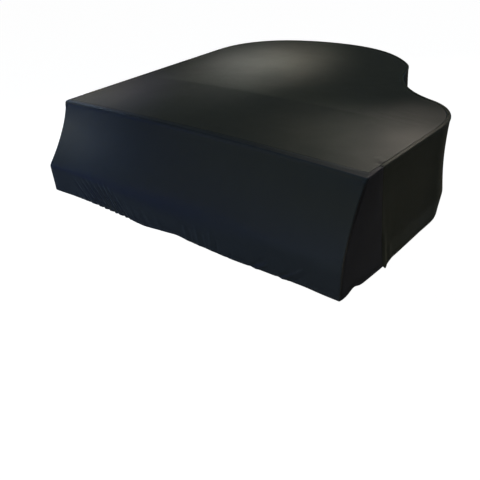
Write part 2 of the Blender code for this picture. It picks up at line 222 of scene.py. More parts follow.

# How finely each panel is drawn: the distance between its columns, and between its rows.
Spacing = namedtuple("Spacing", "across down")
TOP_SPACING = Spacing(0.0092, 0.0092 * 0.866)  # a triangular pattern
RIM_ROWS = ((0.0028, 0.0026), (0.0068, 0.0064))  # rows along its rim: distance, and least distance
MIDDLE_CLEAR = 0.0115  # least distance of the pattern from that rim
FRONT_SPACING = Spacing(0.0038, 0.0065)
CHEEK_SPACING = Spacing(0.0060, 0.0065)
SIDE_SPACING = Spacing(0.0083, 0.0085)
CHEEK_WIDTH = 0.235  # nominal width of a cheek, for which its columns are counted
CORNER_STEPS, FRONT_STEPS, CHEEK_STEPS = 8, 240, 12  # in the seam round the top panel
SEAM_STEP = 0.0075  # length of a step of that seam along the side strip
ROLL_STEPS = (0.0, 0.12, 0.32, 0.60, 1.0)  # over a seam's rolled edge, as shares of its radius
HEM_STEPS = (0.026, 0.0225, 0.0205, 0.0185, 0.0165, 0.0145, 0.011, 0.007, 0.004)  # rows above the hem
STITCHED = (0.0165, 0.0205)  # those that carry stitches
FOLD_TURNS = 6  # steps round the fold of the hem
LEG_ROWS = (0, 1, 3, 5)  # which rows above the hem its turned-in leg follows
THREAD_LIFT = 0.0001  # from the cloth up to the middle of a stitch
STITCH_SHAPE = (0.86, 1.9, 1.3)  # length, as a share of a step, and width and height, in threads


def lerp(a, b, share):
    return a + (b - a) * share


def smooth(share):
    share = min(max(share, 0.0), 1.0)
    return share * share * (3 - 2 * share)


def bell(x, centre, width):
    return math.exp(-(((x - centre) / width) ** 2))


def fade(away, length):
    """1 at no distance, falling evenly to 0 at a length."""
    return max(1 - away / length, 0.0)


def soft_minimum(a, b, softness):
    blend = max(softness - abs(a - b), 0.0) / softness
    return min(a, b) - blend * blend * softness / 4


def dip(table, at):
    return sum(row.depth * bell(at, row.at, row.width) for row in table)


def creases(table, a, b):
    """Height of a panel's creases at one of its spots."""
    height = 0.0
    for crease in table:
        along_a, along_b = crease.end[0] - crease.start[0], crease.end[1] - crease.start[1]
        length = math.hypot(along_a, along_b)
        from_a, from_b = a - crease.start[0], b - crease.start[1]
        share = (from_a * along_a + from_b * along_b) / length**2
        away = (from_a * along_b - from_b * along_a) / length
        if abs(away) < 3 * crease.width:
            ends = smooth((share + CREASE_END) / CREASE_FADE)
            ends *= smooth((1 + CREASE_END - share) / CREASE_FADE)
            height += crease.height * bell(away, 0, crease.width) * ends
    return height


def heading_vector(angle):
    return Vector((math.cos(math.radians(angle)), math.sin(math.radians(angle))))


def metres(label, description, default):
    return FloatProperty(name=label, description=description, default=default, unit="LENGTH", precision=4)


def degrees(label, description, default):
    return FloatProperty(name=label, description=description, default=math.radians(default), unit="ROTATION")


def factor(label, description, default):
    return FloatProperty(
        name=label, description=description, default=default, min=0, max=1, subtype="FACTOR")


def shade(label, description, default):
    return FloatVectorProperty(
        name=label, description=description, default=default, size=3, min=0, max=1, subtype="COLOR")


class CoverSizes(PropertyGroup):
    """Sizes of the piano under the cover"""

    width: metres("Width", "Across the two cheeks", WIDTH)
    lid_depth: metres("Lid depth", "From the lid's front edge to the tail", LID_DEPTH)
    mount_depth: metres("Mount depth", "From the lid's front edge to what carries the cover", MOUNT_DEPTH)
    rise: metres("Rise", "Height of the cloth's outer face over the lid", 0.002)
    drop: metres("Drop", "From the lid down to the hem of the front and the cheeks", 0.370)
    rim_drop: metres("Rim drop", "Down to the rim's lower edge, where the hem starts to draw in", 0.294)
    hollow_drop: metres("Hollow drop", "Height over which the side strip bows in", 0.320)
    key_drop: metres("Key drop", "Down to the key slip, where the front panel bends", 0.250)
    key_reach: metres("Key reach", "How far the key slip stands in front of the lid", 0.136)
    hem_reach: metres("Hem reach", "The same, at the middle of the front hem", 0.138)
    hem_skew: metres("Hem skew", "More than that at the treble end, and less at the bass end", 0.008)
    flare: metres("Bass flare", "How much further forwards the key slip's bass end stands", 0.0065)
    crown: metres("Crown", "Rise of the taut cloth over the middle of the lid", 0.014)
    hinge_y: metres("Hinge", "From the lid's front edge to the hinge of its front flap", 0.445)
    hinge_rise: metres("Hinge rise", "Height of the cloth's ridge over the hinge", 0.0090)
    hinge_spread: metres("Hinge spread", "How far in front of it and behind it the cloth slopes away", 0.160)
    hinge_round: metres("Hinge round", "Softness of the ridge itself", 0.002)
    hinge_fade: metres("Hinge fade", "Length over which the ridge fades out towards its ends", 0.34)


class CoverSewing(PropertyGroup):
    """Seams, laps and hem"""

    cloth: metres("Cloth", "Thickness of the cloth", 0.001)
    gap: metres("Gap", "Between two pieces, along their seam", 0.0003)
    seam_roll: metres("Seam roll", "Radius of the rolled edge on either side of a seam", 0.0018)
    allowance: metres("Seam allowance", "Cloth that is turned in along a seam", 0.003)
    edge_rise: metres("Edge rise", "How far the side strip stands proud of the lid's edge", 0.0006)
    side_round: metres("Side round", "Radius of the cloth over the lid's sides", 0.005)
    bass_round: metres("Bass round", "Radius of the cloth over the lid's front edge, at its bass end", 0.012)
    treble_round: metres("Treble round", "The same, at its treble end", 0.009)
    lap_slope: degrees("Lap slope", "How much the front panel's treble end leans forwards on the lid", 7.0)
    corner_round: metres("Corner round", "Radius of the front corners, seen from above", 0.005)
    side_lap: metres("Side lap", "How far the side pieces reach onto the lid", 0.015)
    bass_lap: metres("Bass lap", "How far the front panel does, at its bass end", 0.017)
    treble_lap: metres("Treble lap", "How far the front panel does, at its treble end", 0.026)
    seam_y: metres("Upright seam", "From the lid's front edge back to the upright seams", 0.091)
    seam_slant: metres("Seam slant", "How much further back their lower ends are", 0.028)
    seam_blend: metres("Seam blend", "Length of the side strip that follows the slant", 0.150)
    fold: metres("Hem fold", "Radius of the fold at the hem", 0.0014)
    stitch_height: metres("Stitch height", "From the hem up to the lower row of its stitches", 0.0165)
    stitch_rows: metres("Stitch rows", "Between the two rows of stitches", 0.004)
    stitch: metres("Stitch", "From one stitch to the next", 0.0042)
    thread: metres("Thread", "Thickness of the sewing thread", 0.0005)


class CoverFolds(PropertyGroup):
    """Unevenness of the cloth"""

    slack: metres("Slack", "Unevenness of the stretched cloth", 0.0007)
    pucker: metres("Pucker", "Unevenness beside the seams", 0.0004)
    pleat_width: metres("Pleat width", "Half the width of a pleat's trough", 0.0095)
    gather: metres("Gather", "Height of the small gathers between the pleats, at the front hem", 0.0016)
    bass_bend: metres("Bass bend", "Softness of the bend at the key slip, at the bass end", 0.009)
    middle_bend: metres("Middle bend", "The same, in the middle", 0.030)
    treble_bend: metres("Treble bend", "The same, at the treble end", 0.009)
    knob: metres("Corner knob", "Height of the gathered seam ends under the front corners", 0.0060)
    bead: metres("Edge bead", "How far the cloth over the lid's edge stands proud of its fall", 0.0016)
    groove: metres("Corner groove", "Depth of the front corner seams where they are pulled tight", 0.0045)
    curl: metres("Hem curl", "How far the edge of the side hem rolls under", 0.0015)


class CoverCloth(PropertyGroup):
    """Colours of the cloth and the thread. Each panel's tone carries painted light: the tint and brightness
    that light gives its face.
    """

    # One black cloth in all four panels: each tone below is painted lighter, darker or tinted by the light on
    # that face.
    top_colour: shade("Top", "Cloth of the top panel", (0.0135, 0.0140, 0.0125))
    front_colour: shade("Front", "Cloth of the front panel", (0.0094, 0.0110, 0.0130))
    cheek_colour: shade("Cheek", "Cloth of the cheek panels", (0.0112, 0.0102, 0.0132))
    side_colour: shade("Side", "Cloth of the side strip", (0.0135, 0.0137, 0.0098))
    lint_colour: shade("Lint", "Dust and lint on the cloth", (0.10, 0.098, 0.092))
    thread_colour: shade("Thread", "Sewing thread", (0.016, 0.016, 0.017))
    wale: metres("Wale", "Width of one knitted rib", 0.0009)
    roughness: factor("Roughness", "Of the knitted face", 0.45)
    sheen: factor("Sheen", "Of the fibres seen at a low angle", 0.5)


class CoverStage(PropertyGroup):
    """Floor, light and camera"""

    floor_drop: metres("Floor", "From the mount down to the floor", 0.9982)
    floor_colour: shade("Floor colour", "Plain pale floor", (0.40, 0.40, 0.40))
    floor_glow: factor("Floor glow", "Even brightness of the floor, besides the light that falls on it", 0.98)
    sky: factor("Sky", "Even light from all round", 0.01)
    light: FloatProperty(name="Light", description="Brightness of all the lamps together", default=1.0, min=0)


class PianoCover:
    """The cover's surface, worked out from the sizes in the sidebar.

    Cloth below the top panel runs in rows, from the seam on the lid to the hem: 0 to 1 is the lap,
    1 to 2 the rounded edge and 2 to 3 the fall.
    """

    def __init__(self, scene):
        for group in (scene.cover_sizes, scene.cover_sewing, scene.cover_folds):
            for name in type(group).__annotations__:
                setattr(self, name, getattr(group, name))
        self.half = self.width / 2
        self.base = self.rise - self.lid_height(0, self.mount_depth)
        self.line = self.strip_line()
        self.distances = [station.distance for station in self.line]
        self.strip_length = self.distances[-1]

    def placed(self, x, y, height):
        """A point from its distances from the lid's front edge and rim, in the cover's own frame."""
        return Vector((x, y - self.mount_depth, self.base + height))

    def lid_height(self, x, y):
        """Height of the cloth on the lid above the lid's edge."""
        across = max(1 - (x / self.half) ** 2, 0.0)
        crown = self.crown * across * (1 - smooth(y / self.lid_depth))
        ends = smooth((self.half * RIDGE_REACH - abs(x)) / self.hinge_fade)
        return crown + ends * (self.ridge(y) - self.ridge(self.mount_depth))

    def on_lid(self, x, y):
        """A point of the cloth on the lid."""
        return self.placed(x, y, self.lid_height(x, y))

    def ridge(self, y):
        """Height of the low roof that the cloth makes over the hinge."""
        return self.hinge_rise * math.exp(-math.hypot(y - self.hinge_y, self.hinge_round) / self.hinge_spread)

    def slackness(self, point):
        """Unevenness of the stretched cloth."""
        return self.slack * sum(height * noise.noise(point / length) for length, height in SLACK_WAVES)

    def puckers(self, along, away):
        """Small gathers beside a seam. away is the distance from it."""
        if away > PUCKER_REACH:
            return 0.0
        wave = noise.noise(Vector((along / PUCKER_LENGTH, 0.5, 0.5)))
        return self.pucker * wave * math.exp(-away / PUCKER_FADE)

    def edge_bead(self, row, drop):
        """Height of the bead that the lid's edge presses into the cloth. drop is the fall's length."""
        return self.bead * (smooth(row - 1) if row < 2 else 1 - smooth((row - 2) * drop / BEAD_FADE))

    def corner_groove(self, fall, away):
        """Depth of the taut seam at a front corner: deep below the knob, and shallow further down."""
        below_knob = smooth((fall - 0.022) / 0.012)
        further_down = smooth((fall - 0.085) / 0.05)
        return self.groove * below_knob * lerp(1.0, 0.3, further_down) * fade(away, 0.009) ** 1.5

    def lap_groove(self, row, away):
        """Depth of the upright seam where it crosses the lid's edge."""
        return self.groove * 0.6 * smooth(2 - row) * fade(away, 0.006) ** 1.5

    def strip_line(self):
        """Stations along the lid's edge, from the treble side seam to the bass side seam."""
        across, back = self.width / OUTLINE_WIDTH, self.lid_depth / OUTLINE_DEPTH
        line, distance, last = [], 0.0, None
        for here, there in zip(OUTLINE, OUTLINE[1:]):
            start = Vector((here.x * across, here.y * back))
            end = Vector((there.x * across, there.y * back))
            pull = PULL * (end - start).length
            handles = (start, start + heading_vector(here.heading) * pull,
                       end - heading_vector(there.heading) * pull, end)
            for step in range(CURVE_STEPS + (there is OUTLINE[-1])):
                along = step / CURVE_STEPS
                rest = 1 - along
                weights = (rest**3, 3 * rest**2 * along, 3 * rest * along**2, along**3)
                slopes = (-(rest**2), rest**2 - 2 * rest * along, 2 * rest * along - along**2, along**2)
                place = sum((h * w for h, w in zip(handles, weights)), Vector((0, 0)))
                travel = sum((h * w for h, w in zip(handles, slopes)), Vector((0, 0))).normalized()
                shape = [lerp(a, b, smooth(along)) for a, b in zip(here[3:], there[3:])]
                distance += (place - last).length if last else 0.0
                last = place
                line.append(Station(place, Vector((travel.y, -travel.x)), shape, distance))
        return line

    def station(self, distance):
        """The station at a distance from the treble side seam."""
        after = min(max(bisect_right(self.distances, distance), 1), len(self.line) - 1)
        here, there = self.line[after - 1], self.line[after]
        part = (distance - here.distance) / (there.distance - here.distance)
        shape = [lerp(a, b, part) for a, b in zip(here.shape, there.shape)]
        out = here.out.lerp(there.out, part).normalized()
        return Station(here.place.lerp(there.place, part), out, shape, distance)

    def tuck_share(self, fall, drop):
        """0 down to the rim's lower edge, 1 at the hem."""
        below = (fall - self.rim_drop) / (drop - self.rim_drop)
        soft = 0.08
        return max(below, 0.0) if abs(below) > soft else (below + soft) ** 2 / (4 * soft)

    def side_profile(self, row, hollow, tuck, drop):
        """Offset outwards from the lid's edge and fall below it, on a side."""
        if row <= 1:
            return lerp(-self.side_lap, -self.side_round, row), -self.edge_rise * row
        if row <= 2:
            turn = (row - 1) * math.pi / 2
            offset = self.side_round * (math.sin(turn) - 1)
            return offset, self.side_round * (1 - math.cos(turn)) - self.edge_rise
        fall = lerp(self.side_round - self.edge_rise, drop, row - 2)
        part = min(fall, self.rim_drop) / self.hollow_drop
        rolled = self.curl * fade(drop - fall, 0.014) ** 2 * min(tuck / 0.01, 1.0)
        return lerp(-hollow * 4 * part * (1 - part), -tuck, self.tuck_share(fall, drop)) - rolled, fall

    def front_profile(self, row, across):
        """Reach forwards from the lid's front edge and fall below it. across runs from bass 0 to treble 1."""
        belly = lerp(BASS_BELLY, TREBLE_BELLY, across)
        lean = math.atan(self.key_reach / self.key_drop * (1 + 4 * belly))
        turn, tilt = math.pi / 2 - lean, self.lap_slope * across
        lap = lerp(self.bass_lap, self.treble_lap, across)
        radius = lerp(self.bass_round, self.treble_round, across)
        flat = lap * math.sin(turn) / math.sin(turn - tilt) - radius * math.tan((turn - tilt) / 2)
        reach, fall = flat * math.cos(tilt) - lap, flat * math.sin(tilt)
        if row <= 1:
            return lerp(-lap, reach, row), fall * row
        angle = lerp(tilt, turn, min(row - 1, 1))
        reach += radius * (math.sin(angle) - math.sin(tilt))
        fall += radius * (math.cos(tilt) - math.cos(angle))
        if row <= 2:
            return reach, fall
        fall = lerp(fall, self.drop, row - 2)
        part = fall / self.key_drop
        flare = self.flare * bell(across, 0, 0.06)
        slope = (self.key_reach + flare) * (part + 4 * belly * part * (1 - part))
        hem = self.hem_reach + self.hem_skew * (2 * across - 1)
        below = lerp(self.key_reach, hem, self.below_slip(fall)) + flare
        bend = lerp(self.bass_bend, self.middle_bend, smooth(across / 0.45))
        bend = lerp(bend, self.treble_bend, smooth((across - 0.55) / 0.25))
        return soft_minimum(slope, below, bend), fall

    def below_slip(self, fall):
        """0 at the key slip, 1 at the front hem."""
        return (fall - self.key_drop) / (self.drop - self.key_drop)

    def front_lap(self, across):
        """Length of the front panel's flat part on the lid."""
        return self.front_profile(1, across)[0] - self.front_profile(0, across)[0]

    def front_point(self, row, across, corner=0.0):
        """A point of the front panel. corner is the angle turned round a front corner, 0 on the front."""
        reach, fall = self.front_profile(row, across)
        offset, _ = self.side_profile(row, 0.0, 0.0, self.drop)
        x = (2 * across - 1) * (self.half + offset - self.corner_round)
        y = -reach + self.corner_round * (1 - math.cos(corner))
        x += math.copysign(self.corner_round * math.sin(corner), across - 0.5)
        crown = self.lid_height(x, 0) * (1 - smooth(fall / self.key_drop))
        hem_dip = dip(FRONT_DIPS, x) * smooth(self.below_slip(fall))
        return self.placed(x, y, crown - fall - hem_dip)

    def side_point(self, row, distance):
        """A point of the side strip."""
        place, out, shape, _ = self.station(distance)
        offset, fall = self.side_profile(row, *shape)
        spot = place + out * offset
        slant = self.seam_slant * max(fall / self.drop, 0.0) ** 2
        spot.y += slant * fade(place.y - self.seam_y, self.seam_blend)
        return self.placed(spot.x, spot.y, self.lid_height(place.x, place.y) - fall)

    def cheek_point(self, row, along, sign):
        """A point of a cheek, from the front corner 0 to the side seam 1. sign is the side it is on."""
        seam = self.side_point(row, 0.0 if sign > 0 else self.strip_length)
        point = self.front_point(row, (1 + sign) / 2, math.pi / 2).lerp(seam, along)
        fall = self.side_profile(row, 0.0, 0.0, self.drop)[1]
        point.z -= dip(CHEEK_DIPS, point.y + self.mount_depth) * self.tuck_share(fall, self.drop)
        return point

    def spread(self, length, spacing):
        """Distances across a panel: close together at its two seams, even between them."""
        near = [part * self.seam_roll for part in ROLL_STEPS] + [2 * self.seam_roll]
        count = max(round((length - 2 * near[-1]) / spacing), 1)
        middle = [lerp(near[-1], length - near[-1], step / count) for step in range(1, count)]
        return near + middle + [length - away for away in reversed(near)]

    def rows(self, lap, drop, edge_fall, spacing):
        """Rows of a column of cloth down to the hem's fold. lap is the length of its flat part on the lid."""
        near = [part * self.seam_roll for part in ROLL_STEPS]
        flat = [away / lap for away in near + [lerp(near[-1], lap, 0.5)]] + [1.0]
        rounded = [1 + step / 5 for step in range(1, 6)]
        fall = drop - edge_fall
        count = round((self.drop - 2 * HEM_STEPS[0]) / spacing)
        falls = [2 + 0.003 / fall]
        falls += [2 + (fall - HEM_STEPS[0]) / fall * step / count for step in range(1, count)]
        hem = [3 - above / fall for above in (*HEM_STEPS, self.fold)]
        return flat + rounded + falls + hem

    def side_rows(self, drop, spacing):
        """Rows of a column of the side strip or of a cheek."""
        return self.rows(self.side_lap - self.side_round, drop, self.side_round - self.edge_rise, spacing)

    def rolled(self, away):
        """How far a panel's edge has rolled in, at a distance from its seam."""
        inside = max(self.seam_roll - away, 0.0)
        return self.seam_roll - math.sqrt(self.seam_roll**2 - inside**2)

    def hem_band(self, above):
        """Relief of the hem: a doubled band below a row of stitches that draws the cloth in."""
        rows = (self.stitch_height, self.stitch_height + self.stitch_rows)
        band = HEM_BAND * smooth((rows[1] + BAND_FADE - above) / BAND_FADE)
        return band - STITCH_DRAW * sum(bell(above, row, DRAW_WIDTH) for row in rows)

    # A panel's cloth is its columns, their places along the panel and their distances from its seams.
    # A column is a list of spots, each a point, its relief and how deep a seam there is pulled in.

    def front_cloth(self):
        """The front panel, with the cloth that turns round its two corners."""
        arc = self.corner_round * math.pi / 2
        near = [part * self.seam_roll for part in ROLL_STEPS] + [0.004, 0.0055]
        span = 2 * (self.half - self.corner_round)
        count = round(span / FRONT_SPACING.across)
        turned = [((arc - away) / self.corner_round, away) for away in near]
        places = [(0.0, corner, away) for corner, away in turned]
        for step in range(count + 1):
            places.append((step / count, 0.0, min(step, count - step) * span / count + arc))
        places += [(1.0, corner, away) for corner, away in reversed(turned)]
        columns, along = [], []
        for across, corner, away in places:
            edge_fall = self.front_profile(2, across)[1]
            rows = self.rows(self.front_lap(across), self.drop, edge_fall, FRONT_SPACING.down)
            columns.append([self.front_spot(row, across, corner, away) for row in rows])
            along.append((across - 0.5) * span + math.copysign(self.corner_round * corner, across - 0.5))
        return columns, along, [away for *_, away in places]

    def front_spot(self, row, across, corner, away):
        """A spot of the front panel. away is its distance from the nearer corner seam."""
        point = self.front_point(row, across, corner)
        fall = self.front_profile(row, across)[1]
        x = (2 * across - 1) * self.half
        height = self.slackness(point) * smooth(away / FRONT_TIGHT) + creases(FRONT_CREASES, x, fall)
        height += self.edge_bead(row, self.drop) + self.pleated(x, fall)
        height += self.knob * bell(fall, KNOB_FALL, KNOB_HEIGHT) * bell(away, KNOB_AWAY, KNOB_WIDTH)
        height += self.puckers(x, row * FRONT_EDGE) if row < 2 else 0.0
        return point, height, self.corner_groove(fall, away)

    def pleated(self, x, fall):
        """Height of the pleats below the key slip and of the small gathers between them."""
        height = 0.0
        for pleat in PLEATS:
            part = (fall - pleat.start_fall) / (self.drop - pleat.start_fall)
            bow = PLEAT_BOW * math.sin(math.pi * min(max(part, 0), 1))
            line = lerp(pleat.start_x, pleat.hem_x, part) - bow
            if part > 0 and abs(x - line) < 0.05:
                deep = pleat.depth * smooth(part * 2.2)
                trough = bell(x, line, self.pleat_width * TROUGH_WIDTH)
                beside = bell(x, line + self.pleat_width * BESIDE, self.pleat_width * BESIDE_WIDTH)
                height += deep * (BESIDE_HEIGHT * beside - trough)
        gathered = smooth((fall - GATHER_TOP) / 0.07)
        gathered *= smooth((x - GATHER_BASS) / 0.05) * smooth((GATHER_TREBLE - x) / 0.08)
        across, down = GATHER_LENGTHS
        slanted = x - GATHER_SLANT * (fall - self.drop)
        return height + self.gather * gathered * noise.noise(Vector((slanted / across, fall / down, 2.7)))

    def cheek_cloth(self, sign):
        """A cheek, from the front corner back to the upright seam. sign is the side it is on."""
        rows = self.side_rows(self.drop, CHEEK_SPACING.down)
        widths = [(self.cheek_point(row, 1, sign) - self.cheek_point(row, 0, sign)).length for row in rows]
        places = self.spread(CHEEK_WIDTH, CHEEK_SPACING.across)
        columns = [[self.cheek_spot(row, self.cheek_share(away, width), width, sign)
                    for row, width in zip(rows, widths)] for away in places]
        if sign < 0:
            columns.reverse()
        return columns, places, [min(away, CHEEK_WIDTH - away) for away in places]

    def cheek_share(self, away, width):
        """A column's place as a share of a row's width. Beside the seams it keeps its distance from them."""
        seam = 2 * self.seam_roll
        if away < seam:
            return away / width
        if away > CHEEK_WIDTH - seam:
            return 1 - (CHEEK_WIDTH - away) / width
        return lerp(seam / width, 1 - seam / width, (away - seam) / (CHEEK_WIDTH - 2 * seam))

    def cheek_spot(self, row, part, width, sign):
        """A spot of a cheek, part of the way across a row of a given width."""
        point = self.cheek_point(row, part, sign)
        fall = self.side_profile(row, 0.0, 0.0, self.drop)[1]
        front, back = part * width, (1 - part) * width
        height = self.slackness(point) * smooth(min(front, back) / SIDE_TIGHT)
        height += creases(CHEEK_CREASES, point.y + self.mount_depth, fall)
        height += self.edge_bead(row, self.drop) * SIDE_BEAD
        height += self.puckers(fall, min(front, back)) if row > 1.5 else 0.0
        return point, height, self.corner_groove(fall, front) + self.lap_groove(row, back)

    def side_cloth(self):
        """The long strip, from the treble upright seam round to the bass one."""
        distances = self.spread(self.strip_length, SIDE_SPACING.across)
        near = [min(distance, self.strip_length - distance) for distance in distances]
        columns = []
        for distance, away in zip(distances, near):
            shape = self.station(distance).shape
            rows = self.side_rows(shape[2], SIDE_SPACING.down)
            columns.append([self.side_spot(row, distance, shape, away) for row in rows])
        return columns, distances, near

    def side_spot(self, row, distance, shape, away):
        """A spot of the side strip. away is its distance from the nearer side seam."""
        point = self.side_point(row, distance)
        fall = self.side_profile(row, *shape)[1]
        height = self.slackness(point) * smooth(away / SIDE_TIGHT) * smooth((fall + 0.004) / 0.04)
        height += creases(SIDE_CREASES, away, fall) + self.edge_bead(row, shape[2]) * SIDE_BEAD
        height += self.puckers(distance, row * SIDE_EDGE) if row < 2 else 0.0
        height += self.puckers(fall, away) if row > 1.5 else 0.0
        return point, height, self.lap_groove(row, away)

    def lid_seam(self):
        """The closed seam round the top panel, from the bass front corner to the treble side."""
        def shares(count):
            return [step / count for step in range(count)]

        turn = [math.pi / 2 * share for share in shares(CORNER_STEPS)]
        seam = [self.front_point(0, 0, math.pi / 2 - angle) for angle in turn]
        seam += [self.front_point(0, share) for share in shares(FRONT_STEPS)]
        seam += [self.front_point(0, 1, angle) for angle in turn]
        seam += [self.cheek_point(0, share, 1) for share in shares(CHEEK_STEPS)]
        side = shares(round(self.strip_length / SEAM_STEP))
        seam += [self.side_point(0, self.strip_length * share) for share in side]
        return seam + [self.cheek_point(0, 1 - share, -1) for share in shares(CHEEK_STEPS)]


def unit(vectors):
    return vectors / np.linalg.norm(vectors, axis=-1, keepdims=True)


def normals_of(points):
    """Outward unit normals of a grid of points whose columns run round the cover and rows run down."""
    along = np.gradient(points, axis=0)
    down = np.gradient(points, axis=1)
    return unit(np.cross(down, along))


def hemmed_grid(cover, cloth):
    """The finished face of a panel with its rolled seams and folded hem, and its two rows of stitches."""
    columns, along, near = cloth
    points = np.array([[tuple(point) for point, _, _ in column] for column in columns])
    relief, groove = np.moveaxis(np.array([[spot[1:] for spot in column] for column in columns]), 2, 0)
    away = np.array(near)[:, None]
    near_rows = [part * cover.seam_roll for part in ROLL_STEPS]
    row_away = np.array(near_rows + [1.0] * (points.shape[1] - len(near_rows)))[None, :]
    points[0] += unit(points[1] - points[0]) * cover.gap / 2
    points[-1] += unit(points[-2] - points[-1]) * cover.gap / 2
    normals = normals_of(points)
    nearest = np.minimum(away, row_away)
    sunk = np.vectorize(cover.rolled)(nearest) + groove
    band = np.array([cover.hem_band(step) for step in HEM_STEPS] + [HEM_BAND])
    relief[:, -len(band):] += band
    relief *= np.clip(nearest / RELIEF_FADE, 0, 1)
    face = points + normals * (relief - sunk)[..., None]

    down = unit(face[:, -1] - face[:, -2])
    out = normals[:, -1]
    turns = [math.pi * step / FOLD_TURNS for step in range(1, FOLD_TURNS + 1)]
    fold = [face[:, -1] + down * cover.fold * math.sin(turn) - out * cover.fold * (1 - math.cos(turn))
            for turn in turns]
    leg = [face[:, -2 - back] - normals[:, -2 - back] * 2 * cover.fold for back in LEG_ROWS]
    full = np.concatenate([face, np.stack(fold + leg, axis=1)], axis=1)
    full_normals = np.concatenate([normals] + [out[:, None]] * (len(fold) + len(leg)), axis=1)

    # The seam allowances lean to one side, so nothing shows through the seam.
    turned = full - full_normals * cover.allowance
    inner = len(ROLL_STEPS)
    first = turned[:1] + unit(full[inner] - full[0]) * cover.allowance / 2
    last = turned[-1:] + unit(full[-1] - full[-1 - inner]) * cover.allowance / 2
    full = np.concatenate([first, full, last], axis=0)
    upper = np.pad(full_normals[:, :1], ((1, 1), (0, 0), (0, 0)), mode="edge")
    full = np.concatenate([full[:, :1] - upper * cover.allowance, full], axis=1)
    nearest = np.pad(nearest, ((1, 1), (1, len(fold) + len(leg))), mode="edge")
    along = [along[0] - cover.allowance, *along, along[-1] + cover.allowance]
    steps = np.linalg.norm(np.diff(full, axis=1), axis=2).mean(axis=0)
    down = np.concatenate([[0.0], np.cumsum(steps)])
    stitched = [HEM_STEPS.index(step) - len(HEM_STEPS) - 1 for step in STITCHED]
    rows = [(face[:, row], normals[:, row]) for row in stitched]
    return full, np.array(along), down, nearest, rows


def grid_faces(columns, rows):
    """Quads of a grid of points, facing out of the cover."""
    corner = np.arange(columns * rows).reshape(columns, rows)
    quads = np.stack([corner[:-1, :-1], corner[:-1, 1:], corner[1:, 1:], corner[1:, :-1]], axis=-1)
    return quads.reshape(-1, 4).tolist()


def add_panel(name, points, faces, uv, nearest, cloth, material):
    """A sheet of cloth with its thickness, its cloth coordinates and its nearness to a seam."""
    mesh = bpy.data.meshes.new(name)
    mesh.from_pydata(points, [], faces)
    layer = mesh.uv_layers.new(name="Cloth")
    corners = np.empty(len(mesh.loops), dtype=np.int32)
    mesh.loops.foreach_get("vertex_index", corners)
    layer.data.foreach_set("uv", np.asarray(uv)[corners].astype(np.float32).ravel())
    seam = mesh.attributes.new("seam", "FLOAT", "POINT")
    seam.data.foreach_set("value", np.exp(-np.asarray(nearest) / SEAM_SHEEN_AND_WEAR).astype(np.float32))
    mesh.materials.append(material)
    panel = bpy.data.objects.new(name, mesh)
    bpy.context.scene.collection.objects.link(panel)
    bpy.ops.object.select_all(action="DESELECT")
    panel.select_set(True)
    bpy.context.view_layer.objects.active = panel
    thickness = panel.modifiers.new("Thickness", "SOLIDIFY")
    thickness.thickness = cloth
    thickness.offset = -1
    bpy.ops.object.modifier_apply(modifier=thickness.name)
    bpy.ops.object.shade_smooth_by_angle(angle=math.radians(50))
    return panel


def make_panel(cover, name, cloth, material):
    """One hemmed panel and where its stitches go."""
    full, along, down, nearest, rows = hemmed_grid(cover, cloth)
    columns, count = full.shape[:2]
    uv = np.stack(np.broadcast_arrays(along[:, None], -down[None, :]), axis=-1).reshape(-1, 2)
    faces = grid_faces(columns, count)
    panel = add_panel(name, full.reshape(-1, 3), faces, uv, nearest.ravel(), cover.cloth, material)
    return panel, rows


def stitch_bead():
    """Corners and faces of one short, rounded stitch of unit length."""
    bpy.ops.object.select_all(action="DESELECT")
    bpy.ops.mesh.primitive_ico_sphere_add(subdivisions=1, radius=0.5)
    bead = bpy.context.object
    corners = np.array([tuple(corner.co) for corner in bead.data.vertices])
    faces = np.array([tuple(face.vertices) for face in bead.data.polygons])
    mesh = bead.data
    bpy.data.objects.remove(bead)
    bpy.data.meshes.remove(mesh)
    return corners, faces


def add_stitches(name, spots, material):
    """A run of stitches as one piece. Each spot is (place, along, out, length, width, height)."""
    corners, faces = stitch_bead()
    points, sides = [], []
    for number, (place, along, out, length, width, height) in enumerate(spots):
        across = np.cross(out, along)
        axes = np.stack([along * length, across * width, out * height])
        points.append(place + corners @ axes)
        sides.append(faces + number * len(corners))
    mesh = bpy.data.meshes.new(name)
    mesh.from_pydata(np.concatenate(points), [], np.concatenate(sides).tolist())
    mesh.materials.append(material)
    mesh.shade_smooth()
    stitches = bpy.data.objects.new(name, mesh)
    bpy.context.scene.collection.objects.link(stitches)
    return stitches


def hem_stitches(cover, name, rows, material):
    """Two even rows of stitches along the hem of a panel."""
    spots = []
    ends = 2 * cover.seam_roll
    for line, normals in rows:
        steps = np.linalg.norm(np.diff(line, axis=0), axis=1)
        distance = np.concatenate([[0.0], np.cumsum(steps)])
        run = distance[-1] - 2 * ends
        count = int(run / cover.stitch)
        at = ends + (np.arange(count) + 0.5) * run / count

        def along_hem(values, at=at):
            return np.stack([np.interp(at, distance, values[:, axis]) for axis in range(3)], axis=-1)

        place, out = along_hem(line), unit(along_hem(normals))
        along = unit(place - along_hem(line, at - 0.001))
        along = unit(along - out * np.sum(along * out, axis=-1, keepdims=True))
        size = np.multiply(STITCH_SHAPE, (cover.stitch, cover.thread, cover.thread))
        spots += [(*spot, *size) for spot in zip(place + out * THREAD_LIFT, along, out)]
    return add_stitches(name, spots, material)


def finish_panel(panel, node, stitches=()):
    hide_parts(node)
    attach(panel, "root")
    for piece in stitches:
        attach(piece, "root")


def hang_panel(cover, name, node, cloth, material, look):
    """Makes a hemmed panel with its stitches. It hangs from the top panel."""
    panel, rows = make_panel(cover, name, cloth, material)
    thread = bpy.data.materials.get("Sewing Thread") or thread_material(look)
    stitches = hem_stitches(cover, name.replace("cloth", "hem_stitches"), rows, thread)
    finish_panel(panel, node, [stitches])


# Materials


